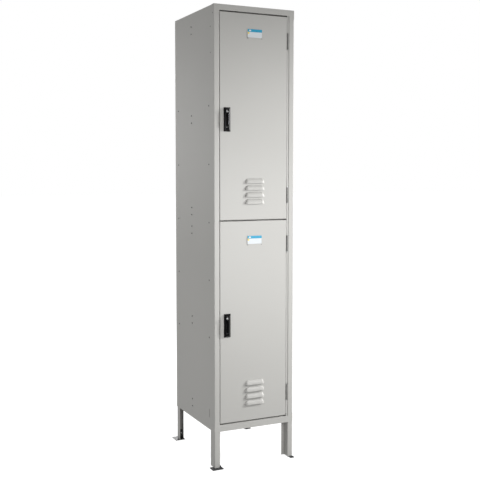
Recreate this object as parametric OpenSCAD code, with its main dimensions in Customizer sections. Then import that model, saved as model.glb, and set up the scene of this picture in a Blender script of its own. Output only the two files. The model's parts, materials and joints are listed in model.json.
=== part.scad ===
// Two-tier steel school locker on legs: a formed frame with sheet panels bolted inside it,
// two pan doors on knuckle hinges, and a lift latch behind each handle.
// Origin: on the floor, in the middle of the four anchor holes. Front faces -Y, height is +Z.

/* [Body] */
// Overall width of the body
body_w = 381; // [340:1:460]
// Overall depth of the body
body_d = 457; // [380:1:560]
// Overall height above the floor
body_h = 1981; // [1900:1:2050]
// Height of the clear space under the body
leg_h = 160; // [140:1:180]
// Height of the line where the two doors meet
split_z = 1072; // [1040:1:1100]

/* [Sheet metal] */
// Thickness of the frame and door steel
frame_t = 1.5; // [1.2:0.1:2]
// Thickness of the panels and shelves
panel_t = 1.2; // [0.8:0.1:1.4]

/* [Frame] */
// Width of each upright seen from the front
stile_w = 24.4; // [22:0.1:30]
// Depth of the upright's outer flange beside the panels
post_flange = 66; // [62:1:76]
// Depth of the upright's outer flange below the body
leg_flange = 43; // [30:1:50]
// Height of the visible face of the top rail
top_rail_h = 24.5; // [20:0.5:32]
// Height of the visible face of the bottom rail
bottom_rail_h = 28.5; // [24:0.5:32]
// How far each rail's corner ears reach along the upright, past the rail
ear_h = 15; // [8:1:20]
// Depth from the frame's face to the strike lips behind the doors
strike_depth = 32; // [30:0.5:40]
// Width of the strike lips
strike_w = 15; // [12:1:20]

/* [Doors] */
// Depth of the folded door pan
door_depth = 22; // [18:0.5:24]
// Gap above, between and below the doors
door_gap = 5; // [4:0.5:7]
// Gap beside the latch edge of each door
latch_gap = 2; // [1.5:0.1:3]
// Width of the pan's folded lips
pan_lip = 13; // [10:1:16]

/* [Hinges] */
// Length of each hinge
hinge_h = 69; // [60:1:80]
// Distance from a door's end to the near end of its hinge
hinge_inset = 70; // [50:1:110]
// Radius of the hinge knuckle
knuckle_r = 3.8; // [3.4:0.1:4]
// Radius of the hinge pin
pin_r = 2; // [1.6:0.1:2.2]

/* [Louvers] */
// Number of louvers in each door
louver_count = 4; // [2:1:6]
// Width of a louver
louver_w = 93; // [60:1:110]
// Height of a louver
louver_h = 20; // [16:1:22]
// Spacing of the louvers
louver_pitch = 29.5; // [27:0.5:36]
// How far a louver stands out of the door
louver_out = 9; // [6:0.5:10]
// Height of the lowest louver's lip above the foot of the door
louver_z = 69; // [50:1:100]

/* [Handle and latch] */
// Length of the handle housing
handle_h = 102; // [96:1:110]
// Width of the handle housing at the door
handle_w = 31; // [30:1:36]
// How far the housing stands out of the door
handle_out = 12; // [10:0.5:14]
// Distance from the body's left side to the middle of the handle's recess
handle_x = 58; // [56:0.5:59]
// Drop of the handle's middle below the middle of the door
handle_drop = 11; // [0:1:30]
// How far the latch lifts
lift = 10; // [8:0.5:10]

/* [Feet] */
// Thickness of the foot plates
foot_t = 3; // [2:0.5:4]
// Distance of the anchor holes outside the body's front and back faces
anchor_out = 10; // [9:0.5:12]
// Distance of the anchor holes inside the body's left and right sides
anchor_in = 8; // [8:0.5:10]
// Radius of the anchor holes
anchor_r = 3.5; // [3:0.25:4]

/* [Hidden] */
$fn = 48;

paint = [0.76, 0.75, 0.73];
steel = [0.62, 0.63, 0.65];
black = [0.07, 0.07, 0.08];

// Levels of the frame
rail_top_z = leg_h + bottom_rail_h;
top_rail_z = body_h - top_rail_h;
roof_z = body_h - frame_t;
post_top = roof_z - panel_t;
lap_t = 1;                                // thickness of the rails' face, which laps the uprights
web_t = 1.5;                              // thickness of the rails' folded webs
cover_drop = 0.3;                         // the panels' top returns lie this much below the top rail
panel_x = frame_t;                        // the side panels' outer faces
inner_x = frame_t + panel_t;              // their inner faces
rear_y = body_d - panel_t;                // the back panel's inner face
panel_y = 38;                             // front edge of the side panels, behind the uprights' flanges

// Rear uprights
rear_flange = 46;
rear_leg_flange = 34;
rear_w = 25.5;
rear_lip = 17;

// Levels of the doors
upper_lo = split_z + door_gap / 2;
upper_hi = top_rail_z - door_gap;
lower_lo = rail_top_z + door_gap;
lower_hi = split_z - door_gap / 2;
upper_handle_z = (upper_lo + upper_hi) / 2 - handle_drop;
lower_handle_z = (lower_lo + lower_hi) / 2 - handle_drop;
door_y = 0.5;                             // the doors' faces sit this far behind the uprights' faces
door_x = stile_w + latch_gap;             // latch edge
hinge_x = body_w - stile_w - frame_t - knuckle_r;
hinge_y = 1.5;
door_x2 = hinge_x - knuckle_r - 0.4;      // hinge edge
door_back = door_y + door_depth;
louver_x = body_w / 2;

// Hinge details
knuckles = 5;
knuckle_gap = 0.3;
running_gap = 0.05;
frame_leaf_x = body_w - stile_w;
frame_leaf_y = 26;

// Latch details
bar_x = 46;
bar_w = 14;
bar_y = 12;
bar_t = 3;
bar_half = 252;
guide_at = 160;
catch_at = 240;
finger_h = 8;
catch_gap = 0.6;

// Bolts
bolt_r = 2.4;
bolt_hole_r = 2.5;
bolt_head_r = 3.6;
bolt_head_h = 1.6;
bolt_pitch = 249.2;
bolt_zs = [for (i = [-2 : 2]) 1063 + i * bolt_pitch];
front_bolt_y = post_flange - 10;
rear_bolt_y = body_d - 38;
hole_y = 256;                             // column of paired holes for hooks and neighbours
pair_gap = 32;
hook_zs = [upper_hi - 45, lower_hi - 49];
pair_zs = [upper_lo + 440, upper_lo + 30, lower_lo + 417, lower_lo + 35];
slot_z = leg_h + 71;
slot_y = 53;

module box(lo, hi) translate(lo) cube(hi - lo);
module along_x(p, r, h) translate(p) rotate([0, 90, 0]) cylinder(r = r, h = h);
module along_y(p, r, h) translate(p) rotate([-90, 0, 0]) cylinder(r = r, h = h);
module centred() translate([-body_w / 2, -body_d / 2, 0]) children();
module other_side() translate([body_w, 0, 0]) mirror([1, 0, 0]) children();
module both_sides() { children(); other_side() children(); }

// ---- frame ----

module front_section(flange) polygon([
    [0, 0], [stile_w, 0], [stile_w, strike_depth], [stile_w - frame_t, strike_depth],
    [stile_w - frame_t, frame_t], [frame_t, frame_t], [frame_t, flange], [0, flange]
]);

module front_upright() difference() {
    union() {
        translate([0, 0, foot_t]) linear_extrude(leg_h - foot_t) front_section(leg_flange);
        translate([0, 0, leg_h]) linear_extrude(post_top - leg_h) front_section(post_flange);
    }
    for (z = bolt_zs) along_x([-1, front_bolt_y, z], bolt_hole_r, frame_t + 2);
    for (z = [slot_z - 14, slot_z + 14]) along_x([-1, slot_y, z], 4.5, frame_t + 2);
    box([-1, slot_y - 4.5, slot_z - 14], [frame_t + 1, slot_y + 4.5, slot_z + 14]);
}

// Strike lips behind both doors' edges, and folded strips that close the gap between the hinges
module jamb_strips() color(paint) {
    both_sides()
        box([stile_w, strike_depth - frame_t, foot_t], [stile_w + strike_w, strike_depth, post_top]);
    hinges = concat(hinge_zs(lower_lo, lower_hi), hinge_zs(upper_lo, upper_hi));
    for (i = [0 : len(hinges)]) {
        z0 = i == 0 ? rail_top_z : hinges[i - 1] + hinge_h + 2.5;
        z1 = i == len(hinges) ? top_rail_z : hinges[i] - 2.5;
        box([door_x2 + 0.9, 0.8, z0], [frame_leaf_x - frame_t, 0.8 + frame_t, z1]);
        box([frame_leaf_x - 2 * frame_t, 0.8, z0], [frame_leaf_x - frame_t, 28, z1]);
    }
}

module rear_section(flange) polygon([
    [inner_x, rear_y], [inner_x, rear_y - flange], [inner_x + frame_t, rear_y - flange],
    [inner_x + frame_t, rear_y - frame_t], [inner_x + rear_w - frame_t, rear_y - frame_t],
    [inner_x + rear_w - frame_t, rear_y - rear_lip], [inner_x + rear_w, rear_y - rear_lip],
    [inner_x + rear_w, rear_y]
]);

module rear_upright() difference() {
    union() {
        translate([0, 0, foot_t]) linear_extrude(leg_h - foot_t) rear_section(rear_leg_flange);
        translate([0, 0, leg_h]) linear_extrude(post_top - leg_h) rear_section(rear_flange);
    }
    for (z = bolt_zs) along_x([inner_x - 1, rear_bolt_y, z], bolt_hole_r, frame_t + 2);
    for (z = [14, 75]) along_x([inner_x - 1, rear_y - 16, foot_t + z], 2.5, frame_t + 2);
    for (z = bolt_zs) along_y([14, rear_y - frame_t - 1, z], bolt_hole_r, frame_t + 2);
    along_y([20, rear_y - frame_t - 1, foot_t + 24], bolt_hole_r, frame_t + 2);
}

// A face plate that laps both uprights, with ears at its ends reaching towards the doors
module rail_face(z0, z1, ear_z) {
    box([0, -lap_t, z0], [body_w, 0, z1]);
    both_sides() box([0, -lap_t, min(z0, ear_z)], [stile_w, 0, max(z1, ear_z)]);
}

module top_rail() color(paint) {
    rail_face(top_rail_z, body_h, top_rail_z - ear_h);
    box([stile_w, -lap_t, top_rail_z], [body_w - stile_w, strike_depth - web_t, top_rail_z + web_t]);
    box([stile_w + strike_w, strike_depth - web_t, top_rail_z - strike_w],
        [body_w - stile_w - strike_w, strike_depth, top_rail_z + web_t]);
    box([0, -lap_t, roof_z], [body_w, 30, body_h]);
}

module bottom_rail() color(paint) {
    rail_face(leg_h, rail_top_z, rail_top_z + ear_h);
    box([stile_w, -lap_t, rail_top_z - web_t], [body_w - stile_w, strike_depth - web_t, rail_top_z]);
    box([stile_w + strike_w, strike_depth - web_t, rail_top_z - web_t],
        [body_w - stile_w - strike_w, strike_depth, rail_top_z + strike_w]);
    box([stile_w, -lap_t, leg_h], [body_w - stile_w, 20, leg_h + web_t]);
}

// The strike between the doors, behind them both
module middle_rail() color(paint) {
    half = 20;
    x0 = stile_w + strike_w;
    box([x0, strike_depth - web_t, split_z - half], [body_w - x0, strike_depth, split_z + half]);
    for (z = [split_z - half, split_z + half - web_t])
        box([x0, strike_depth - web_t, z], [body_w - x0, strike_depth + 12, z + web_t]);
}

// ---- panels ----

module side_panel() difference() {
    union() {
        box([panel_x, panel_y, leg_h - 2], [inner_x, body_d, body_h - cover_drop]);
        box([panel_x, post_flange + 1, roof_z], [panel_x + 12, body_d, body_h - cover_drop]);
        box([panel_x, post_flange + 1, leg_h - 2],
            [panel_x + 12, rear_y - rear_flange - 2, leg_h - 2 + panel_t]);
    }
    for (z = bolt_zs, y = [front_bolt_y, rear_bolt_y]) along_x([0, y, z], bolt_hole_r, 4);
    for (z = concat(hook_zs, pair_zs), s = [-1, 1])
        along_x([0, hole_y, z + s * pair_gap / 2], bolt_hole_r, 4);
}

module back_panel() color(paint) difference() {
    box([inner_x, rear_y, leg_h], [body_w - inner_x, body_d, roof_z]);
    both_sides() for (z = bolt_zs) along_y([14, rear_y - 1, z], bolt_hole_r, panel_t + 2);
}

module top_panel() color(paint) {
    box([inner_x, 0, post_top], [body_w - inner_x, rear_y, roof_z]);
    both_sides() box([inner_x, post_flange + 3, post_top - 15],
                     [inner_x + panel_t, rear_y - rear_flange - 2, roof_z]);
    box([30, rear_y - frame_t - panel_t, post_top - 15], [body_w - 30, rear_y - frame_t, roof_z]);
}

// A shelf with folded edges, notched round the rear uprights
module shelf(z) color(paint) difference() {
    union() {
        box([inner_x, strike_depth, z - panel_t], [body_w - inner_x, rear_y, z]);
        box([stile_w + strike_w, strike_depth, z - 17],
            [body_w - stile_w - strike_w, strike_depth + panel_t, z]);
        both_sides()
            box([inner_x, post_flange + 3, z - 17], [inner_x + panel_t, rear_y - rear_flange - 2, z]);
    }
    both_sides() box([0, rear_y - rear_flange - 1, z - 20], [inner_x + rear_w + 0.5, body_d, z + 1]);
}

// ---- feet: a plate on the floor and a tab inside the upright ----

module foot_plate(lo, hi, hole) difference() {
    box([lo.x, lo.y, 0], [hi.x, hi.y, foot_t]);
    translate([hole.x, hole.y, -1]) cylinder(r = anchor_r, h = foot_t + 2);
}

module foot_gusset(x, y) translate([x, y + foot_t, foot_t]) rotate([90, 0, 0])
    linear_extrude(foot_t) polygon([[0, 0], [9, 0], [0, 14]]);

module foot_tab(x0, x1, y0) box([x0, y0, 0], [x1, y0 + foot_t, 43]);

module left_front_foot() color(black) {
    foot_plate([-16, -20], [34, 18], [anchor_in, -anchor_out]);
    foot_tab(12.5, 22.5, frame_t);
    foot_gusset(stile_w, 2);
}

module right_front_foot() color(black) {
    foot_plate([body_w - 19, -20], [body_w, 18], [body_w - anchor_in, -anchor_out]);
    other_side() foot_tab(12.5, 22.5, frame_t);
}

module rear_tab() difference() {
    foot_tab(15, 25.5, rear_y - frame_t - foot_t);
    along_y([20, rear_y - frame_t - foot_t - 1, foot_t + 24], bolt_hole_r, foot_t + 2);
}

module left_rear_foot() color(black) {
    foot_plate([-16, body_d - 32], [30, body_d + 20], [anchor_in, body_d + anchor_out]);
    rear_tab();
}

module right_rear_foot() color(black) {
    foot_plate([body_w - 21, body_d - 16], [body_w, body_d + 17], [body_w - anchor_in, body_d + anchor_out]);
    other_side() rear_tab();
}

// ---- hooks ----

hook_wire = 2.5;
hook_bend = 11;

// A wire that drops, turns through half a circle and ends in a ball
module prong(drop, tip) {
    translate([0, 0, -drop]) cylinder(r = hook_wire, h = drop);
    translate([hook_bend, 0, -drop]) rotate([90, 0, 0]) rotate_extrude(angle = 180)
        translate([-hook_bend, 0]) circle(hook_wire);
    translate([2 * hook_bend, 0, -drop]) cylinder(r = hook_wire, h = tip);
    translate([2 * hook_bend, 0, -drop + tip]) sphere(3.6);
}

module ceiling_hook(z) color(steel) translate([body_w / 2, 200, z]) {
    difference() {
        box([-22, -9, -2.4], [22, 9, 0]);
        for (x = [-12, 12]) translate([x, 0, -4]) cylinder(r = bolt_hole_r, h = 6);
    }
    for (s = [0, 1]) mirror([s, 0, 0]) translate([2.4, 0, -2]) prong(22, 12);
}

module wall_hook(z) translate([inner_x, hole_y, z]) {
    difference() {
        box([0, -9, -24], [2.4, 9, 24]);
        for (s = [-1, 1]) along_x([-1, 0, s * pair_gap / 2], bolt_hole_r, 6);
    }
    along_x([2, 0, 6], hook_wire, 8);
    translate([10, 0, 6]) sphere(hook_wire);
    translate([10, 0, 6]) prong(12, 14);
}

// ---- fasteners ----

module side_bolt(x, y, z, length, head_r = bolt_head_r) {
    along_x([x - bolt_head_h, y, z], head_r, bolt_head_h);
    along_x([x - 0.01, y, z], bolt_r, length);
}

module nut(x, y, z) translate([x, y, z]) rotate([0, 90, 0]) difference() {
    cylinder(r = 5, h = 3, $fn = 6);
    translate([0, 0, -1]) cylinder(r = bolt_r, h = 5);
}

module side_bolts() color(steel) both_sides() for (z = bolt_zs) {
    side_bolt(0, front_bolt_y, z, 8);
    side_bolt(panel_x, rear_bolt_y, z, 8);
}

module side_nuts() color(steel) both_sides() for (z = bolt_zs) {
    nut(inner_x, front_bolt_y, z);
    nut(inner_x + frame_t, rear_bolt_y, z);
}

// Pairs of bolts in the sides, through the wall hooks or the plain holes for neighbours,
// and studs with nuts under each ceiling
module hook_bolts() color(steel) {
    both_sides() for (s = [-1, 1]) {
        for (z = concat(hook_zs, pair_zs)) side_bolt(panel_x, hole_y, z + s * pair_gap / 2, 8, 3);
        for (z = hook_zs) nut(inner_x + 2.4, hole_y, z + s * pair_gap / 2);
        for (z = pair_zs) nut(inner_x, hole_y, z + s * pair_gap / 2);
    }
    for (z = [post_top, split_z - panel_t], x = [-12, 12]) translate([body_w / 2 + x, 200, z - 5.4]) {
        cylinder(r = bolt_r, h = 5.4);
        cylinder(r = 4.6, h = 3, $fn = 6);
    }
}

module foot_bolts() color(steel) both_sides() {
    along_y([20, rear_y - 9, foot_t + 24], bolt_r, 9.01);
    along_y([20, rear_y, foot_t + 24], 4.2, 2);
}

module back_screws() color(steel) both_sides() for (z = bolt_zs) {
    along_y([14, body_d, z], bolt_head_r, bolt_head_h);
    along_y([14, rear_y - 6, z], bolt_r, 6 + panel_t + 0.01);
}

module corner_rivets() color(steel) both_sides() {
    for (z = [body_h - 89, body_h - 198]) along_x([-0.8, 38, z], 2.6, 0.8);
    along_x([-0.8, 13, body_h - 36], 2.6, 0.8);
}

// ---- hinges ----

// Heights of the hinges' lower ends on a door
function hinge_zs(lo, hi) = [lo + hinge_inset, hi - hinge_inset - hinge_h];

module knuckle(i, bore) {
    step = hinge_h / knuckles;
    translate([hinge_x, hinge_y, i * step + knuckle_gap / 2]) difference() {
        union() {
            cylinder(r = knuckle_r, h = step - knuckle_gap);
            children();
        }
        translate([0, 0, -1]) cylinder(r = bore, h = step + 2);
    }
}

module frame_leaf() {
    step = hinge_h / knuckles;
    for (i = [0, 2, 4]) knuckle(i, pin_r)
        box([0, 0, 0], [frame_leaf_x - hinge_x, knuckle_r, step - knuckle_gap]);
    box([frame_leaf_x - frame_t, hinge_y + knuckle_r + 0.6, 0], [frame_leaf_x, frame_leaf_y, hinge_h]);
    for (i = [0, 2, 4]) box([frame_leaf_x - frame_t, hinge_y, i * step + knuckle_gap / 2],
                            [frame_leaf_x, frame_leaf_y, (i + 1) * step - knuckle_gap / 2]);
}

module door_leaf() {
    step = hinge_h / knuckles;
    leaf_t = 1.4;
    for (i = [1, 3]) knuckle(i, pin_r + running_gap)
        box([door_x2 - hinge_x, 0, 0], [0, knuckle_r, step - knuckle_gap]);
    box([door_x2, hinge_y + knuckle_r + 0.6, 0], [door_x2 + leaf_t, door_back - 2, hinge_h]);
    for (i = [1, 3]) box([door_x2, hinge_y + 0.5, i * step + knuckle_gap / 2],
                         [door_x2 + leaf_t, door_back - 2, (i + 1) * step - knuckle_gap / 2]);
}

module hinge_pin() translate([hinge_x, hinge_y, 0]) {
    translate([0, 0, -0.8]) cylinder(r = pin_r, h = hinge_h + 1.6);
    for (z = [-1.6, hinge_h + 0.4]) translate([0, 0, z]) cylinder(r = 3, h = 1.2);
}

// ---- doors ----

// A louver's profile, from the door's face outwards; its lip is open at the bottom
module hood_outline(wall, back, foot) polygon([
    [back, foot], [wall - louver_out, foot], [wall - louver_out, louver_h * 0.5 - wall * 0.3],
    [wall * 0.6 - louver_out * 0.7, louver_h * 0.8 - wall * 0.8], [back, louver_h - wall * 1.4]
]);

module louver_hood(z) translate([louver_x - louver_w / 2, door_y, z]) rotate([90, 0, 90]) difference() {
    linear_extrude(louver_w) hood_outline(0, 0, 0);
    translate([0, 0, frame_t]) linear_extrude(louver_w - 2 * frame_t) hood_outline(frame_t, 1, -1);
}

module door_pan(lo, hi, handle_z) color(paint) difference() {
    union() {
        difference() {
            box([door_x, door_y, lo], [door_x2, door_back, hi]);
            box([door_x + frame_t, door_y + frame_t, lo + frame_t],
                [door_x2 - frame_t, door_back - frame_t, hi - frame_t]);
            box([door_x + pan_lip, door_back - frame_t - 1, lo + pan_lip],
                [door_x2 - pan_lip, door_back + 1, hi - pan_lip]);
        }
        for (i = [0 : louver_count - 1]) louver_hood(lo + louver_z + i * louver_pitch);
    }
    for (i = [0 : louver_count - 1])
        box([louver_x - louver_w / 2 + 3, door_y - 1, lo + louver_z + i * louver_pitch + 1],
            [louver_x + louver_w / 2 - 3, door_y + frame_t + 1,
             lo + louver_z + i * louver_pitch + louver_h * 0.7]);
    box([52, door_y - 1, handle_z - 11], [62, door_y + frame_t + 1, handle_z + 12 + lift]);
    for (s = [-1, 1]) box([door_x + frame_t, door_back - frame_t - 1, handle_z + s * catch_at - 22],
                          [door_x + pan_lip + 1, door_back + 1, handle_z + s * catch_at + 6]);
}

module door_stiffener(lo, hi) color(paint) translate([270, door_y + frame_t, lo + 26])
    linear_extrude(hi - lo - 52) polygon([
        [0, 0], [12, 0], [12, 16], [46, 16], [46, 0], [58, 0], [58, panel_t], [46 + panel_t, panel_t],
        [46 + panel_t, 16 + panel_t], [12 - panel_t, 16 + panel_t], [12 - panel_t, panel_t], [0, panel_t]
    ]);

card_w = 68;
card_h = 35;
card_drop = 84;
module card_holder(hi) color(paint) translate([louver_x, door_y, hi - card_drop]) {
    box([-36, -0.8, -21], [36, 0, 20]);
    box([-35.5, -1.9, -17.5], [35.5, -0.8, -15.7]);
    for (s = [0, 1]) mirror([s, 0, 0]) box([34, -1.9, -17.5], [35.5, -0.8, 8]);
}

module card(hi) color("white") translate([louver_x, door_y, hi - card_drop])
    box([-card_w / 2, -1.4, -15.7], [card_w / 2, -0.8, -15.7 + card_h]);

module card_rivets(hi) color(steel) translate([louver_x, door_y, hi - card_drop])
    for (x = [-33, 33]) along_y([x, -1.6, -19.2], 1.6, 0.8);

// ---- handle and latch, about the middle of the handle ----

module handle_housing(z) color(black) translate([handle_x, door_y, z]) difference() {
    hull() {
        box([2 - handle_w / 2, -1.2, -handle_h / 2], [2 + handle_w / 2, 0, handle_h / 2]);
        box([-7.7, -handle_out, -handle_h / 2 + 7], [6.5, -handle_out + 1, handle_h / 2 - 7]);
    }
    box([-6.5, -handle_out - 1, -36], [5.5, 1, 41]);
}

module padlock_eye(z) color(steel) translate([handle_x, door_y, z]) difference() {
    union() {
        box([-5.9, -handle_out - 4, 27], [-4.2, 0, 39.4]);
        along_x([-5.9, -handle_out - 4, 33.2], 6.2, 1.7);
    }
    along_x([-7, -handle_out - 4, 33.2], 3.5, 4);
}

module latch_guides(z) color([0.85, 0.85, 0.82]) for (s = [-1, 1]) translate([0, 0, z + s * guide_at])
    difference() {
        box([bar_x - 4, door_y + frame_t, -12], [bar_x + bar_w + 4, bar_y + bar_t + 4, 12]);
        box([bar_x - 0.4, bar_y - 0.4, -13], [bar_x + bar_w + 0.4, bar_y + bar_t + 0.4, 13]);
    }

module latch_bar(z) color(steel) {
    box([bar_x, bar_y, z - bar_half], [bar_x + bar_w, bar_y + bar_t, z + bar_half]);
    box([54, -5, z - 8], [bar_x + bar_w, bar_y + 1, z + 8]);
}

// Fingers welded to the bar's front, just above the catches
module latch_fingers(z) color(steel) for (s = [-1, 1])
    box([30, bar_y - 2.5, z + s * catch_at], [bar_x + 8, bar_y, z + s * catch_at + finger_h]);

module lever_plate(z) color(steel) translate([handle_x, 0, z]) {
    box([-5.5, -8, -34], [4.9, -5, 12]);
    box([-3.4, -8, 11], [4.9, -5, 29]);
}

module lift_lever(z) color(black) translate([handle_x, 0, z]) {
    box([-3.4, -17, -28], [3.2, -8, 25]);
    for (s = [-28, 25]) translate([-0.1, -8, s]) rotate([90, 0, 0]) cylinder(r = 3.3, h = 9);
}

// Hooks on the strike lip that hold the latch bar's fingers
module latch_catches() color(steel)
for (z = [upper_handle_z, lower_handle_z], s = [-1, 1]) translate([0, 0, z + s * catch_at]) {
    box([stile_w + 3, strike_depth - frame_t - 2.5, -20], [stile_w + 14, strike_depth - frame_t, -3]);
    box([32, 5, -16], [35, strike_depth - frame_t - 2, -5]);
    box([32, 5, -16], [35, 8, -catch_gap]);
}

module bumpers() color([0.15, 0.15, 0.15])
for (z = [lower_lo + 60, lower_hi - 60, upper_lo + 60, upper_hi - 60])
    along_y([stile_w + 8, door_back + 0.5, z], 4, strike_depth - frame_t - door_back - 0.5);

module hinge_set(lo, hi) for (z = hinge_zs(lo, hi)) translate([0, 0, z]) children();
module frame_leaves(lo, hi) color(paint) hinge_set(lo, hi) frame_leaf();
module hinge_pins(lo, hi) color(steel) hinge_set(lo, hi) hinge_pin();
module door_leaves(lo, hi) color(paint) hinge_set(lo, hi) door_leaf();

// ---- nodes ----

centred() color(paint) front_upright();  // left_front_upright
centred() color(paint) other_side() front_upright();  // right_front_upright
centred() color(paint) rear_upright();  // left_rear_upright
centred() color(paint) other_side() rear_upright();  // right_rear_upright
centred() jamb_strips();
centred() top_rail();
centred() middle_rail();
centred() bottom_rail();
centred() color(paint) side_panel();  // left_side_panel
centred() color(paint) other_side() side_panel();  // right_side_panel
centred() back_panel();
centred() top_panel();
centred() shelf(rail_top_z - web_t);  // bottom_panel
centred() shelf(split_z);  // tier_shelf
centred() left_front_foot();
centred() right_front_foot();
centred() left_rear_foot();
centred() right_rear_foot();
centred() ceiling_hook(post_top);  // upper_ceiling_hook
centred() ceiling_hook(split_z - panel_t);  // lower_ceiling_hook
centred() color(steel) both_sides() wall_hook(hook_zs[0]);  // upper_wall_hooks
centred() color(steel) both_sides() wall_hook(hook_zs[1]);  // lower_wall_hooks
centred() latch_catches();
centred() bumpers();  // door_bumpers
centred() frame_leaves(upper_lo, upper_hi);  // upper_frame_leaves
centred() frame_leaves(lower_lo, lower_hi);  // lower_frame_leaves
centred() hinge_pins(upper_lo, upper_hi);  // upper_hinge_pins
centred() hinge_pins(lower_lo, lower_hi);  // lower_hinge_pins
centred() side_bolts();
centred() side_nuts();
centred() hook_bolts();
centred() foot_bolts();
centred() back_screws();
centred() corner_rivets();
centred() door_pan(upper_lo, upper_hi, upper_handle_z);  // upper_door_pan
centred() door_stiffener(upper_lo, upper_hi);  // upper_door_stiffener
centred() handle_housing(upper_handle_z);  // upper_handle_housing
centred() padlock_eye(upper_handle_z);  // upper_padlock_eye
centred() card_holder(upper_hi);  // upper_card_holder
centred() card(upper_hi);  // upper_card
centred() card_rivets(upper_hi);  // upper_card_rivets
centred() door_leaves(upper_lo, upper_hi);  // upper_door_leaves
centred() latch_guides(upper_handle_z);  // upper_latch_guides
centred() latch_bar(upper_handle_z);  // upper_latch_bar
centred() latch_fingers(upper_handle_z);  // upper_latch_fingers
centred() lever_plate(upper_handle_z);  // upper_lever_plate
centred() lift_lever(upper_handle_z);  // upper_lift_lever
centred() door_pan(lower_lo, lower_hi, lower_handle_z);  // lower_door_pan
centred() door_stiffener(lower_lo, lower_hi);  // lower_door_stiffener
centred() handle_housing(lower_handle_z);  // lower_handle_housing
centred() padlock_eye(lower_handle_z);  // lower_padlock_eye
centred() card_holder(lower_hi);  // lower_card_holder
centred() card(lower_hi);  // lower_card
centred() card_rivets(lower_hi);  // lower_card_rivets
centred() door_leaves(lower_lo, lower_hi);  // lower_door_leaves
centred() latch_guides(lower_handle_z);  // lower_latch_guides
centred() latch_bar(lower_handle_z);  // lower_latch_bar
centred() latch_fingers(lower_handle_z);  // lower_latch_fingers
centred() lever_plate(lower_handle_z);  // lower_lever_plate
centred() lift_lever(lower_handle_z);  // lower_lift_lever
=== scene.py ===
import math
import bmesh
import bpy
from mathutils import Matrix, Vector
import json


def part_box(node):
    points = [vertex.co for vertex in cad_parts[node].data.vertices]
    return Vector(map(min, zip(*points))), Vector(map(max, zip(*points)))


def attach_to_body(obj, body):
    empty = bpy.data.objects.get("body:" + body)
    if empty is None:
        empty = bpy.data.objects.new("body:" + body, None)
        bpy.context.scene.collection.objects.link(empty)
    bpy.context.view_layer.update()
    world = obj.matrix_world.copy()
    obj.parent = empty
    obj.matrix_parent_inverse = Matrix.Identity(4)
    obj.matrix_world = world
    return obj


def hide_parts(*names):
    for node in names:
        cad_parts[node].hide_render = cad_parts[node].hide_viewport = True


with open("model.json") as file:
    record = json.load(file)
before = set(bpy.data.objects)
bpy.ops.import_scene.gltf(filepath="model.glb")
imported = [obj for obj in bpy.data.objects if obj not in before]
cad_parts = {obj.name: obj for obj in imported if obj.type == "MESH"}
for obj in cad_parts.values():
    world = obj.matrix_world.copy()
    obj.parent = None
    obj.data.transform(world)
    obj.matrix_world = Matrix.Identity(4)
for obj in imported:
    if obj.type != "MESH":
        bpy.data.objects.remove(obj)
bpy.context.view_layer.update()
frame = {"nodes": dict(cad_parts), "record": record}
slotOf = {part["node"]: part["material_slot"] for part in frame["record"]["subparts"]}
print("stage: frame loaded,", len(slotOf), "nodes")


surfaceStyle = {
    "coatRough": 0.25,
    "cloudDetail": 4,
    "grainDetail": 2,
    "shadeSpan": (0.35, 0.65),      # where the noise goes from the low colour to the full one
    "glossSwing": 0.04,
    "bumpDepth": 0.0002,
}


def finishMaterial(name, look):
    material = bpy.data.materials.new(name)
    material.use_nodes = True
    tree = material.node_tree
    shader = tree.nodes["Principled BSDF"]
    shader.inputs["Metallic"].default_value = look["metal"]
    shader.inputs["Coat Weight"].default_value = look["coat"]
    shader.inputs["Coat Roughness"].default_value = surfaceStyle["coatRough"]
    place = tree.nodes.new("ShaderNodeTexCoord")
    cloud = tree.nodes.new("ShaderNodeTexNoise")     # slow unevenness in colour and gloss
    cloud.inputs["Scale"].default_value = look["cloudScale"]
    cloud.inputs["Detail"].default_value = surfaceStyle["cloudDetail"]
    grain = tree.nodes.new("ShaderNodeTexNoise")     # fine surface texture
    grain.inputs["Scale"].default_value = look["grainScale"]
    grain.inputs["Detail"].default_value = surfaceStyle["grainDetail"]
    shade = tree.nodes.new("ShaderNodeValToRGB")
    low = [value * (1 - look["uneven"]) for value in look["colour"]]
    shade.color_ramp.elements[0].color = (*low, 1)
    shade.color_ramp.elements[1].color = (*look["colour"], 1)
    shade.color_ramp.elements[0].position, shade.color_ramp.elements[1].position = surfaceStyle["shadeSpan"]
    gloss = tree.nodes.new("ShaderNodeMapRange")
    gloss.inputs["To Min"].default_value = look["rough"] - surfaceStyle["glossSwing"]
    gloss.inputs["To Max"].default_value = look["rough"] + surfaceStyle["glossSwing"]
    bump = tree.nodes.new("ShaderNodeBump")
    bump.inputs["Strength"].default_value = look["grain"]
    bump.inputs["Distance"].default_value = surfaceStyle["bumpDepth"]
    link = tree.links.new
    link(place.outputs["Object"], cloud.inputs["Vector"])
    link(place.outputs["Object"], grain.inputs["Vector"])
    link(cloud.outputs["Fac"], shade.inputs["Fac"])
    link(cloud.outputs["Fac"], gloss.inputs["Value"])
    link(grain.outputs["Fac"], bump.inputs["Height"])
    link(shade.outputs["Color"], shader.inputs["Base Color"])
    link(gloss.outputs["Result"], shader.inputs["Roughness"])
    link(bump.outputs["Normal"], shader.inputs["Normal"])
    return material


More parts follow.
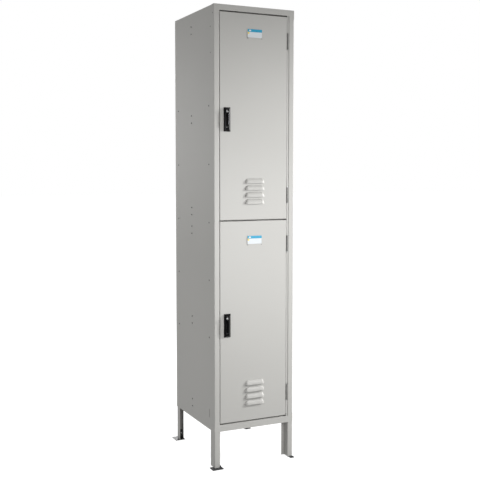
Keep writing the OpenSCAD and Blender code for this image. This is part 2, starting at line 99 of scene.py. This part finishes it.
finishLooks = {
    "enamel": dict(colour=(0.46, 0.455, 0.435), uneven=0.02, rough=0.45, metal=0, coat=0.0,
                   cloudScale=3, grainScale=900, grain=0.12),
    "zinc": dict(colour=(0.58, 0.59, 0.60), uneven=0.12, rough=0.32, metal=1, coat=0,
                 cloudScale=60, grainScale=700, grain=0.1),
    "hinge_steel": dict(colour=(0.22, 0.22, 0.21), uneven=0.08, rough=0.5, metal=0, coat=0,
                        cloudScale=30, grainScale=700, grain=0.1),
    # painted reflection: lighter grey metal for the strip that stands in for the bright surroundings
    # mirrored in the black recess's right inner wall
    "painted_wall_reflection": dict(colour=(0.20, 0.20, 0.20), uneven=0.1, rough=0.25, metal=1, coat=0,
                       cloudScale=30, grainScale=700, grain=0.1),
    "dark_steel": dict(colour=(0.10, 0.10, 0.10), uneven=0.15, rough=0.4, metal=0.6, coat=0,
                       cloudScale=60, grainScale=700, grain=0.1),
    "black_enamel": dict(colour=(0.028, 0.028, 0.032), uneven=0.2, rough=0.4, metal=0, coat=0.2,
                         cloudScale=20, grainScale=500, grain=0.15),
    "black_plastic": dict(colour=(0.018, 0.018, 0.02), uneven=0.15, rough=0.16, metal=1, coat=0,
                          cloudScale=30, grainScale=600, grain=0.05),
    "white_plastic": dict(colour=(0.75, 0.75, 0.71), uneven=0.05, rough=0.5, metal=0, coat=0,
                          cloudScale=20, grainScale=400, grain=0.08),
    "bumper_rubber": dict(colour=(0.03, 0.03, 0.03), uneven=0.2, rough=0.8, metal=0, coat=0,
                          cloudScale=50, grainScale=500, grain=0.3),
    "card_face": dict(colour=(0.62, 0.66, 0.69), uneven=0.02, rough=0.45, metal=0, coat=0.1,
                      cloudScale=15, grainScale=500, grain=0.02),
    "card_header": dict(colour=(0.014, 0.31, 0.50), uneven=0.05, rough=0.45, metal=0, coat=0.1,
                        cloudScale=15, grainScale=500, grain=0.02),
    "card_mark": dict(colour=(0.80, 0.62, 0.12), uneven=0.05, rough=0.5, metal=0, coat=0,
                      cloudScale=15, grainScale=500, grain=0.02),
}
finishes = {name: finishMaterial(name, look) for name, look in finishLooks.items()}
for nodeName, nodeObject in frame["nodes"].items():
    nodeObject.data.materials.clear()
    nodeObject.data.materials.append(finishes[slotOf[nodeName]])
print("stage: finishes made")


meshStyle = {
    "straight": 1.5,        # half angle above which a corner counts as straight
    "cutShare": 0.45,       # most of an edge that one rounded corner may take
    "weld": 1e-6,
}


def rounded(points, outer, inner, steps=4):
    points = [Vector(point) for point in points]
    turn = sum(a.x * b.y - b.x * a.y for a, b in zip(points, points[1:] + points[:1]))
    outline = []
    for index, corner in enumerate(points):
        before, after = points[index - 1] - corner, points[(index + 1) % len(points)] - corner
        cross = after.x * before.y - before.x * after.y
        radius = outer if cross * turn > 0 else inner
        half = before.angle(after) / 2
        if radius <= 0 or half > meshStyle["straight"]:
            outline.append(corner)
            continue
        longest = meshStyle["cutShare"] * min(before.length, after.length)
        cut = min(radius / math.tan(half), longest)
        radius = cut * math.tan(half)
        middle = (before.normalized() + after.normalized()).normalized()
        centre = corner + middle * radius / math.sin(half)
        first = corner + before.normalized() * cut - centre
        last = corner + after.normalized() * cut - centre
        sweep = first.angle_signed(last)
        for step in range(steps + 1):
            turned = Matrix.Rotation(-sweep * step / steps, 2) @ first
            outline.append(centre + turned)
    return outline


def prism(outline, start, end, axis):
    places = {"x": lambda a, b, h: (h, a, b),
              "y": lambda a, b, h: (a, h, b),
              "z": lambda a, b, h: (a, b, h)}
    place = places[axis]
    count = len(outline)
    verts = [place(point[0], point[1], height) for height in (start, end) for point in outline]
    faces = [[i, (i + 1) % count, (i + 1) % count + count, i + count] for i in range(count)]
    return verts, faces + [list(range(count))[::-1], list(range(count, 2 * count))]


def slab(lo, hi, edge=0.0):
    corners = [(lo[0], lo[2]), (hi[0], lo[2]), (hi[0], hi[2]), (lo[0], hi[2])]
    return prism(rounded(corners, edge, 0), lo[1], hi[1], "y")


def lathe(profile, origin, direction, steps=20):
    spin = Vector((0, 0, 1)).rotation_difference(Vector(direction)).to_matrix()
    verts = []
    for radius, height in profile:
        for step in range(steps):
            angle = 2 * math.pi * step / steps
            spot = Vector((radius * math.cos(angle), radius * math.sin(angle), height))
            verts.append(tuple(spin @ spot + Vector(origin)))
    faces = []
    for ring in range(len(profile) - 1):
        for step in range(steps):
            a, b = ring * steps + step, ring * steps + (step + 1) % steps
            faces.append([a, b, b + steps, a + steps])
    return verts, faces + [list(range(steps))[::-1], list(range(len(verts) - steps, len(verts)))]


def joined(*parts):
    verts, faces = [], []
    for partVerts, partFaces in parts:
        faces += [[index + len(verts) for index in face] for face in partFaces]
        verts += list(partVerts)
    return verts, faces


def tidyMesh(piece, sharp=32):
    work = bmesh.new()
    work.from_mesh(piece.data)
    bmesh.ops.recalc_face_normals(work, faces=work.faces)
    work.to_mesh(piece.data)
    work.free()
    piece.data.shade_smooth()
    piece.data.set_sharp_from_angle(angle=math.radians(sharp))


def makePiece(name, parts, finish):
    mesh = bpy.data.meshes.new(name)
    mesh.from_pydata(parts[0], [], parts[1])
    piece = bpy.data.objects.new(name, mesh)
    bpy.context.scene.collection.objects.link(piece)
    piece.data.materials.append(finishes[finish])
    tidyMesh(piece)
    return piece


def settle(piece):
    bpy.context.view_layer.update()
    done = bpy.data.meshes.new_from_object(piece.evaluated_get(bpy.context.evaluated_depsgraph_get()))
    piece.modifiers.clear()
    piece.data = done


def soften(piece, width, segments=2, angle=40):
    bevel = piece.modifiers.new("soft edges", "BEVEL")
    bevel.width = width
    bevel.segments = segments
    bevel.limit_method = "ANGLE"
    bevel.angle_limit = math.radians(angle)
    settle(piece)
    tidyMesh(piece)


def carve(piece, parts):
    cutter = makePiece("cutter", parts, "enamel")
    cut = piece.modifiers.new("cut", "BOOLEAN")
    cut.operation = "DIFFERENCE"
    cut.solver = "EXACT"
    cut.use_self = True
    cut.object = cutter
    settle(piece)
    bpy.data.objects.remove(cutter)
    tidyMesh(piece)


def attach(piece, body, *nodes):
    even = piece.modifiers.new("even shading", "WEIGHTED_NORMAL")    # keeps flat sheet flat up to its folds
    even.keep_sharp = True
    settle(piece)
    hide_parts(*nodes)
    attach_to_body(piece, body)


def islands(node):
    work = bmesh.new()
    work.from_mesh(frame["nodes"][node].data)
    work.transform(frame["nodes"][node].matrix_world)
    bmesh.ops.remove_doubles(work, verts=work.verts, dist=meshStyle["weld"])
    left, found = set(work.verts), []
    while left:
        group, edge = [], [left.pop()]
        while edge:
            vert = edge.pop()
            group.append(vert.co.copy())
            for line in vert.link_edges:
                other = line.other_vert(vert)
                if other in left:
                    left.remove(other)
                    edge.append(other)
        found.append((Vector(map(min, zip(*group))), Vector(map(max, zip(*group)))))
    work.free()
    return found


def span(node):
    low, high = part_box(node)
    return Vector(low), Vector(high)


frameStyle = {
    "sheet": 0.0015,        # frame steel
    "foldOutside": 0.0026,
    "foldInside": 0.001,
    "strike": 0.015,        # width of the strike lips
    "strikeDepth": 0.032,
    "legFlange": 0.043,
    "rearLegFlange": 0.034,
    "rearLip": 0.017,
    "earCorner": 0.002,
    "earInside": 0.0012,
    "railSheet": 0.001,     # rail face
    "railDepth": 0.033,     # front of a rail to the back of its web
    "railSoft": 0.0004,
    "slotCut": 0.002,       # how far the slot's cutter goes to each side of the face
}
sheet = frameStyle["sheet"]
railLow, railHigh = span("bottom_rail")
topLow, topHigh = span("top_rail")
bodyFoot = railLow.z


def frontSection(low, high, flange, side):
    width, depth = high.x - low.x, frameStyle["strikeDepth"]
    points = [(0, 0), (width, 0), (width, depth), (width - sheet, depth), (width - sheet, sheet),
              (sheet, sheet), (sheet, flange), (0, flange)]
    edge = low.x if side == "left" else high.x
    sign = 1 if side == "left" else -1
    placed = [(edge + sign * x, low.y + y) for x, y in points]
    return rounded(placed, frameStyle["foldOutside"], frameStyle["foldInside"])


def rearSection(low, high, flange, side):
    width, back = high.x - low.x, high.y
    lip = frameStyle["rearLip"]
    points = [(0, 0), (0, -flange), (sheet, -flange), (sheet, -sheet), (width - sheet, -sheet),
              (width - sheet, -lip), (width, -lip), (width, 0)]
    edge = low.x if side == "left" else high.x
    sign = 1 if side == "left" else -1
    placed = [(edge + sign * x, back + y) for x, y in points]
    return rounded(placed, frameStyle["foldOutside"], frameStyle["foldInside"])


slotStyle = {"radius": 0.0045, "half": 0.014, "height": 0.071, "fromFront": 0.053}
for side in ("left", "right"):
    node = side + "_front_upright"
    low, high = span(node)
    leg = prism(frontSection(low, high, frameStyle["legFlange"], side), low.z, bodyFoot, "z")
    post = prism(frontSection(low, high, high.y - low.y, side), bodyFoot, high.z, "z")
    upright = makePiece(side + "FrontUpright", joined(leg, post), "enamel")
    middleY, middleZ = low.y + slotStyle["fromFront"], bodyFoot + slotStyle["height"]
    r, h = slotStyle["radius"], slotStyle["half"] + slotStyle["radius"]
    oval = rounded([(middleY - r, middleZ - h), (middleY + r, middleZ - h),
                    (middleY + r, middleZ + h), (middleY - r, middleZ + h)], r, r, 6)
    outside = low.x if side == "left" else high.x
    carve(upright, prism(oval, outside - frameStyle["slotCut"], outside + frameStyle["slotCut"], "x"))
    attach(upright, "cabinet", node)
    node = side + "_rear_upright"
    low, high = span(node)
    leg = prism(rearSection(low, high, frameStyle["rearLegFlange"], side), low.z, bodyFoot, "z")
    post = prism(rearSection(low, high, high.y - low.y, side), bodyFoot, high.z, "z")
    attach(makePiece(side + "RearUpright", joined(leg, post), "enamel"), "cabinet", node)

stile = span("left_front_upright")[1].x - span("left_front_upright")[0].x


def railPiece(name, node, low, high, faceLow, faceHigh, earEnd, webEdge, returnEdge, lipRange, body):
    x0, x1, y0, y1 = low.x, high.x, low.y, low.y + frameStyle["railSheet"]
    back = y0 + frameStyle["railDepth"]
    inner0, inner1 = x0 + stile, x1 - stile
    strike0, strike1 = inner0 + frameStyle["strike"], inner1 - frameStyle["strike"]
    far, near = (faceHigh, faceLow) if earEnd < faceLow else (faceLow, faceHigh)
    face = [(x0, far), (x0, earEnd), (inner0, earEnd), (inner0, near), (inner1, near),
            (inner1, earEnd), (x1, earEnd), (x1, far)]
    plate = prism(rounded(face, frameStyle["earCorner"], frameStyle["earInside"]), y0, y1, "y")
    web = slab((inner0, y1, webEdge[0]), (inner1, back, webEdge[1]))
    lip = slab((strike0, back - sheet, lipRange[0]), (strike1, back, lipRange[1]))
    flange = slab((returnEdge[0], y1, returnEdge[1]), (returnEdge[2], y0 + returnEdge[3], returnEdge[4]))
    piece = makePiece(name, joined(plate, web, lip, flange), "enamel")
    soften(piece, frameStyle["railSoft"])
    attach(piece, body, node)


railStyle = {"topFace": 0.0245, "topReturn": 0.031, "bottomFace": 0.0285, "bottomReturn": 0.021}
faceLow = topHigh.z - railStyle["topFace"]
topReturn = (topLow.x, topHigh.z - sheet, topHigh.x, railStyle["topReturn"], topHigh.z)
railPiece("topRail", "top_rail", topLow, topHigh, faceLow, topHigh.z, topLow.z,
          (faceLow, faceLow + sheet), topReturn, (topLow.z, faceLow), "cabinet")
faceHigh = railLow.z + railStyle["bottomFace"]
bottomReturn = (railLow.x + stile, railLow.z, railHigh.x - stile,
                railStyle["bottomReturn"], railLow.z + sheet)
railPiece("bottomRail", "bottom_rail", railLow, railHigh, railLow.z, faceHigh, railHigh.z,
          (faceHigh - sheet, faceHigh), bottomReturn, (faceHigh, railHigh.z), "cabinet")
print("stage: uprights and rails")


doorStyle = {
    "sheet": 0.0015,
    "corner": 0.0022,       # rounding of the folded edges
    "lip": 0.013,
    "depth": 0.022,
    "louverOut": 0.009,
    "louverHeight": 0.020,
    "louverWidth": 0.093,
    "louverPitch": 0.0295,
    "louverFoot": 0.069,
    "louverCount": 4,
    "louverEnd": 0.014,     # length of a louver's rounded ends
    "louverSunk": 0.0002,   # the rim lies just inside the door's face
    "louverSteps": (36, 14),
    "louverWall": 0.8,      # share of the sheet, which the pressing thins
    "louverSharp": 60,
    "slotInset": 0.006,     # louver's end to the end of the slot behind it
    "slotFrom": 0.0005,
    "slotTo": 0.013,
    "cutFront": 0.001,      # cutters start this far in front of the face
    "cutBack": 0.0025,
    "leverHole": (-0.007, 0.001, -0.011, 0.022),    # left, right, bottom and top from the handle's middle
    "gapBelow": 0.002,      # notch in the lip for each latch catch
    "gapAbove": 0.026,
    "backEdge": 1e-5,
}


def louverShell(foot, centreX, faceY):
    across, up = doorStyle["louverSteps"]
    width, tall, out = doorStyle["louverWidth"], doorStyle["louverHeight"], doorStyle["louverOut"]
    wall, sunk = doorStyle["sheet"] * doorStyle["louverWall"], doorStyle["louverSunk"]
    rings = []
    for depth in (0, wall):
        for row in range(up + 1):
            for column in range(across + 1):
                u = 0.5 - 0.5 * math.cos(math.pi * column / across)
                x, z = (u - 0.5) * width, tall * math.sin(math.pi / 2 * row / up)
                side = max(0, 1 - (width / 2 - abs(x)) / doorStyle["louverEnd"])
                rise = out * math.sqrt(max(0, 1 - side ** 2 - (z / tall) ** 2))
                rings.append((centreX + x, faceY + sunk - rise + depth, foot + z))
    faces, row = [], across + 1
    inside = len(rings) // 2
    for j in range(up):
        for i in range(across):
            a = j * row + i
            faces.append([a, a + 1, a + 1 + row, a + row])
            faces.append([a + inside + row, a + 1 + row + inside, a + 1 + inside, a + inside])
    border = list(range(row)) + [j * row + across for j in range(1, up + 1)]
    border += [up * row + i for i in range(across - 1, -1, -1)] + [j * row for j in range(up - 1, 0, -1)]
    for a, b in zip(border, border[1:] + border[:1]):
        faces.append([b, a, a + inside, b + inside])
    return rings, faces


def doorPiece(prefix, body):
    low, high = span(prefix + "_door_pan")
    faceY = high.y - doorStyle["depth"]
    handleLow, handleHigh = span(prefix + "_handle_housing")
    shell = makePiece(prefix + "DoorPan", slab((low.x, faceY, low.z), (high.x, high.y, high.z)), "enamel")
    work = bmesh.new()
    work.from_mesh(shell.data)
    backY = high.y - doorStyle["backEdge"]
    back = [face for face in work.faces if face.calc_center_median().y > backY]
    folds = [line for line in work.edges if not all(vert.co.y > backY for vert in line.verts)]
    bmesh.ops.delete(work, geom=back, context="FACES_ONLY")
    folds = [line for line in folds if line.is_valid]
    bmesh.ops.bevel(work, geom=folds, offset=doorStyle["corner"], segments=4, profile=0.5, affect="EDGES")
    work.to_mesh(shell.data)
    work.free()
    tidyMesh(shell)
    skin = shell.modifiers.new("sheet", "SOLIDIFY")
    skin.thickness = doorStyle["sheet"]
    skin.offset = -1
    settle(shell)
    centreX = (span(prefix + "_card")[0].x + span(prefix + "_card")[1].x) / 2
    firstFoot, pitch = low.z + doorStyle["louverFoot"], doorStyle["louverPitch"]
    feet = [firstFoot + i * pitch for i in range(doorStyle["louverCount"])]
    half = doorStyle["louverWidth"] / 2 - doorStyle["slotInset"]
    cutFront, cutBack = faceY - doorStyle["cutFront"], faceY + doorStyle["cutBack"]
    cuts = [slab((centreX - half, cutFront, foot + doorStyle["slotFrom"]),
                 (centreX + half, cutBack, foot + doorStyle["slotTo"])) for foot in feet]
    middle = (handleLow + handleHigh) / 2
    left, right, bottom, top = doorStyle["leverHole"]
    cuts.append(slab((middle.x + left, cutFront, middle.z + bottom),
                     (middle.x + right, cutBack, middle.z + top)))
    carve(shell, joined(*cuts))
    lip, wall = doorStyle["lip"], doorStyle["sheet"]
    y0, y1 = high.y - wall, high.y
    catches = sorted(box[0].z for box in islands("latch_catches") if low.z < box[0].z < high.z)
    strips = [slab((low.x + wall, y0, low.z + wall), (high.x - wall, y1, low.z + lip)),
              slab((low.x + wall, y0, high.z - lip), (high.x - wall, y1, high.z - wall)),
              slab((high.x - lip, y0, low.z + lip), (high.x - wall, y1, high.z - lip))]
    below, above = doorStyle["gapBelow"], doorStyle["gapAbove"]
    stops = [low.z + lip, catches[0] - below, catches[0] + above,
             catches[-1] - below, catches[-1] + above, high.z - lip]
    for bottom, top in zip(stops[0::2], stops[1::2]):
        strips.append(slab((low.x + wall, y0, bottom), (low.x + lip, y1, top)))
    shell.name = prefix + "DoorShell"
    lips = makePiece(prefix + "DoorLips", joined(*strips), "enamel")
    hoodParts = [louverShell(foot, centreX, faceY) for foot in feet]
    hoods = makePiece(prefix + "Louvers", joined(*hoodParts), "enamel")
    hoods.data.set_sharp_from_angle(angle=math.radians(doorStyle["louverSharp"]))
    for piece in (shell, lips, hoods):
        attach(piece, body, prefix + "_door_pan")


handleStyle = {
    "flange": 0.0016,       # thickness at the door
    "frontLeft": 0.0077,
    "frontRight": 0.0065,
    "recessShift": 0.002,   # the recess sits this far left of the housing's middle
    "frontInset": 0.007,    # slope at the top and bottom
    "soft": 0.0007,
    "pocketLeft": 0.0065,
    "pocketRight": 0.0055,
    "pocketDown": 0.036,
    "pocketUp": 0.041,
    "pocketCorner": 0.003,
    "pocketFront": 0.002,   # the cutter passes the housing's faces
    "pocketBack": 0.001,
    "flangeCorner": 0.0016,
    # strip of painted reflection on the recess's right inner wall: half its thickness, its insets from front
    # and back, and its gap to the pocket's ends
    "reflectionHalf": 0.0003,
    "reflectionFront": 0.0009,
    "reflectionBack": 0.001,
    "reflectionEnd": 0.003,
}


def handlePiece(prefix, body):
    low, high = span(prefix + "_handle_housing")
    style = handleStyle
    mid = (low + high) / 2 - Vector((style["recessShift"], 0, 0))
    y0, y1 = low.y, high.y
    rings = [(low.x, high.x, low.z, high.z, y1), (low.x, high.x, low.z, high.z, y1 - style["flange"]),
             (mid.x - style["frontLeft"], mid.x + style["frontRight"],
              low.z + style["frontInset"], high.z - style["frontInset"], y0)]
    verts, faces = [], []
    for x0, x1, z0, z1, y in rings:
        ring = rounded([(x0, z0), (x1, z0), (x1, z1), (x0, z1)], style["flangeCorner"], 0, 3)
        verts += [(point[0], y, point[1]) for point in ring]
    count = len(verts) // 3
    for level in (0, 1):
        for i in range(count):
            a, b = level * count + i, level * count + (i + 1) % count
            faces.append([a, b, b + count, a + count])
    faces += [list(range(count))[::-1], list(range(2 * count, 3 * count))]
    housing = makePiece(prefix + "HandleHousing", (verts, faces), "black_plastic")
    bottom, top = mid.z - style["pocketDown"], mid.z + style["pocketUp"]
    pocket = slab((mid.x - style["pocketLeft"], y0 - style["pocketFront"], bottom),
                  (mid.x + style["pocketRight"], y1 + style["pocketBack"], top), style["pocketCorner"])
    carve(housing, pocket)
    soften(housing, style["soft"], 3, 25)
    attach(housing, body, prefix + "_handle_housing")
    # painted reflection: a thin lighter metal strip on the pocket's right inner wall stands in for the
    # bright surroundings reflected in the black housing
    edge = mid.x + style["pocketRight"]
    reflectionStrip = slab((edge - style["reflectionHalf"], y0 + style["reflectionFront"], bottom + style["reflectionEnd"]),
                 (edge + style["reflectionHalf"], y1 - style["reflectionBack"], top - style["reflectionEnd"]))
    attach(makePiece(prefix + "RecessPaintedReflection", reflectionStrip, "painted_wall_reflection"), body, prefix + "_handle_housing")


leverStyle = {"soft": 0.0016, "softSteps": 4, "softAngle": 50, "endSteps": 8}


def leverPiece(prefix, body):
    low, high = span(prefix + "_lift_lever")
    radius = (high.x - low.x) / 2
    corners = [(low.x, low.z), (high.x, low.z), (high.x, high.z), (low.x, high.z)]
    grip = prism(rounded(corners, radius, 0, leverStyle["endSteps"]), low.y, high.y, "y")
    lever = makePiece(prefix + "LiftLever", grip, "black_plastic")
    soften(lever, leverStyle["soft"], leverStyle["softSteps"], leverStyle["softAngle"])
    attach(lever, body, prefix + "_lift_lever")


cardStyle = {
    "header": 0.34,         # share of the card's height
    "corner": 0.0012,
    "mark": 0.00025,        # how far the print stands off the card
    "printCorner": 0.001,
    "printBack": 0.0001,
    "plateCorner": 0.002,
    "lipDepth": 0.0011,     # folded lip in front of the plate
    "lipInset": 0.0005,
    "lipWide": 0.0015,
    "lipFoot": 0.0035,      # height above the plate's lower edge
    "lipRise": 0.0018,
    "lipTop": 0.029,
    "lipCorner": 0.0005,
    "soft": 0.0002,
    "tab": (0.001, 0.008, 0.009),           # left, right and height
    "badge": (0.006, 0.016, 0.003),         # left, right and margin above and below
    "badgeOut": 0.0001,     # how far the badge stands off the band
    "badgeCorner": 0.002,
}


def cardPieces(prefix, body):
    style = cardStyle
    low, high = span(prefix + "_card_holder")
    lipY, foot = low.y + style["lipDepth"], low.z + style["lipFoot"]
    inside0, inside1 = low.x + style["lipInset"], high.x - style["lipInset"]
    holder = [slab((low.x, lipY, low.z), high, style["plateCorner"])]
    holder.append(slab((inside0, low.y, foot), (inside1, lipY, foot + style["lipRise"]), style["lipCorner"]))
    for x in (inside0, inside1 - style["lipWide"]):
        holder.append(slab((x, low.y, foot), (x + style["lipWide"], lipY, low.z + style["lipTop"]),
                           style["lipCorner"]))
    holderPiece = makePiece(prefix + "CardHolder", joined(*holder), "enamel")
    soften(holderPiece, style["soft"])
    attach(holderPiece, body, prefix + "_card_holder")
    low, high = span(prefix + "_card")
    split = high.z - (high.z - low.z) * style["header"]
    face, back = low.y - style["mark"], low.y + style["printBack"]
    paper = makePiece(prefix + "Card", slab(low, high, style["corner"]), "card_face")
    band = slab((low.x, face, split), (high.x, back, high.z), style["printCorner"])
    header = makePiece(prefix + "CardHeader", band, "card_header")
    left, right, tall = style["tab"]
    tab = slab((low.x + left, face, split - tall), (low.x + right, back, split), style["printCorner"])
    left, right, margin = style["badge"]
    mark = slab((low.x + left, face - style["badgeOut"], split + margin),
                (low.x + right, back, high.z - margin), style["badgeCorner"])
    for part, name, finish in ((tab, "CardTab", "card_mark"), (mark, "CardBadge", "card_face")):
        attach(makePiece(prefix + name, part, finish), body, prefix + "_card")
    for piece in (paper, header):
        attach(piece, body, prefix + "_card")


for prefix in ("upper", "lower"):
    doorPiece(prefix, prefix + "_door")
    handlePiece(prefix, prefix + "_door")
    leverPiece(prefix, prefix + "_latch")
    cardPieces(prefix, prefix + "_door")
print("stage: doors, louvers, handles and cards")


headStyle = {
    "tip": 0.0002,          # radius of the small flat on top of a dome
    "steps": 5,
    "bolt": (0.0036, 0.0016, 0.0024),       # head radius, head height and shaft radius
    "rivet": (0.0026, 0.0008, 0.0015),
    "cardRivet": (0.0016, 0.0008, 0.0009),
}


def domed(radius, height, shaft, length):
    curve = [(headStyle["tip"], height)]
    for step in range(1, headStyle["steps"] + 1):
        angle = math.pi / 2 * step / headStyle["steps"]
        curve.append((radius * math.sin(angle), height * math.cos(angle)))
    return curve + [(shaft, 0), (shaft, -length)]


def boltGroup(name, node, body, shape, outward):
    radius, height, shaft = shape
    heads = []
    for low, high in islands(node):
        centre, size = (low + high) / 2, high - low
        direction = outward(centre)
        length = abs(size.dot(direction))
        head = centre + direction * (length / 2 - height)
        heads.append(lathe(domed(radius, height, shaft, length - height), head, direction))
    attach(makePiece(name, joined(*heads), slotOf[node]), body, node)


def sideways(centre):
    return Vector((1 if centre.x > 0 else -1, 0, 0))


boltGroup("sideBolts", "side_bolts", "cabinet", headStyle["bolt"], sideways)
boltGroup("cornerRivets", "corner_rivets", "cabinet", headStyle["rivet"], sideways)
boltGroup("backScrews", "back_screws", "cabinet", headStyle["bolt"], lambda centre: Vector((0, 1, 0)))
for prefix in ("upper", "lower"):
    boltGroup(prefix + "CardRivets", prefix + "_card_rivets", prefix + "_door", headStyle["cardRivet"],
              lambda centre: Vector((0, -1, 0)))
print("stage: bolt and rivet heads")


studio = {
    "floorHalf": 40,
    "floorDrop": 0.0005,
    "floorColour": (0.22, 0.22, 0.22),
    "floorRough": 0.8,
    "sky": 0.33,
    "floorGlow": (0.25, 0.96),      # as a light, and as the eye sees it
}
floor = bpy.data.objects.new("floor", bpy.data.meshes.new("floor"))
floorCorners = [(x * studio["floorHalf"], y * studio["floorHalf"], -studio["floorDrop"])
                for x, y in ((-1, -1), (1, -1), (1, 1), (-1, 1))]
floor.data.from_pydata(floorCorners, [], [(0, 1, 2, 3)])
bpy.context.scene.collection.objects.link(floor)
floorLook = dict(finishLooks["white_plastic"], colour=studio["floorColour"], uneven=0.0,
                 rough=studio["floorRough"], grain=0.0)
floor.data.materials.append(finishMaterial("floor", floorLook))
floorTree = floor.data.materials[0].node_tree
floorShader = floorTree.nodes["Principled BSDF"]
floorShader.inputs["Emission Color"].default_value = (1, 1, 1, 1)
eyeRay = floorTree.nodes.new("ShaderNodeLightPath")
glow = floorTree.nodes.new("ShaderNodeMapRange")
glow.inputs["To Min"].default_value, glow.inputs["To Max"].default_value = studio["floorGlow"]
floorTree.links.new(eyeRay.outputs["Is Camera Ray"], glow.inputs["Value"])
floorTree.links.new(glow.outputs["Result"], floorShader.inputs["Emission Strength"])

world = bpy.data.worlds.new("studio")
world.use_nodes = True
sky = world.node_tree
sky.nodes["Background"].inputs["Color"].default_value = (1, 1, 1, 1)
sky.nodes["Background"].inputs["Strength"].default_value = studio["sky"]
white = sky.nodes.new("ShaderNodeBackground")    # what the eye sees behind the object
white.inputs["Strength"].default_value = 1.0
white.inputs["Color"].default_value = (1, 1, 1, 1)
seen = sky.nodes.new("ShaderNodeLightPath")
either = sky.nodes.new("ShaderNodeMixShader")
sky.links.new(seen.outputs["Is Camera Ray"], either.inputs["Fac"])
sky.links.new(sky.nodes["Background"].outputs["Background"], either.inputs[1])
sky.links.new(white.outputs["Background"], either.inputs[2])
sky.links.new(either.outputs["Shader"], sky.nodes["World Output"].inputs["Surface"])
bpy.context.scene.world = world
bpy.context.scene.view_settings.view_transform = "Standard"

lamps = {
    "key": {"spot": (3.6, -1.75, 2.0), "aim": (0.0, -0.2, 0.85), "size": 0.4, "power": 720, "cone": 40},
    "near": {"spot": (0.20, -1.45, 0.98), "aim": (0.0, -0.2, 0.98), "size": 0.9, "power": 10.6},
    "side": {"spot": (-2.0, 0.3, 1.1), "aim": (-0.19, 0.0, 1.0), "size": 1.2, "power": 10},
    "behind": {"spot": (0.2, 3.0, 1.6), "aim": (0.0, 0.2, 1.0), "size": 2.0, "power": 45},
    "over": {"spot": (0.1, 0.3, 3.4), "aim": (0.0, 0.1, 0.0), "size": 0.5, "power": 14},
}
for name, lamp in lamps.items():
    light = bpy.data.objects.new(name, bpy.data.lights.new(name, "SPOT" if "cone" in lamp else "AREA"))
    light.data.energy = lamp["power"]
    if "cone" in lamp:
        light.data.shadow_soft_size = lamp["size"] / 2
        light.data.spot_size = math.radians(lamp["cone"])
        light.data.spot_blend = 1
    else:
        light.data.shape = "DISK"
        light.data.size = lamp["size"]
    light.location = lamp["spot"]
    light.rotation_euler = (Vector(lamp["aim"]) - light.location).to_track_quat("-Z", "Y").to_euler()
    light.visible_camera = False
    bpy.context.scene.collection.objects.link(light)

viewpoint = {
    "spot": (-1.5845, -3.4355, 1.280),
    "turn": 25.28,
    "down": 3.87,
    "lens": 62.03,
    "sensor": 36,
    "shiftY": -0.025,
}
camera = bpy.data.objects.new("camera", bpy.data.cameras.new("camera"))
camera.location = viewpoint["spot"]
camera.rotation_euler = (math.radians(90 - viewpoint["down"]), 0, math.radians(-viewpoint["turn"]))
camera.data.lens = viewpoint["lens"]
camera.data.sensor_width = viewpoint["sensor"]
camera.data.shift_y = viewpoint["shiftY"]
bpy.context.scene.collection.objects.link(camera)
bpy.context.scene.camera = camera

print("stage: floor, light and camera")
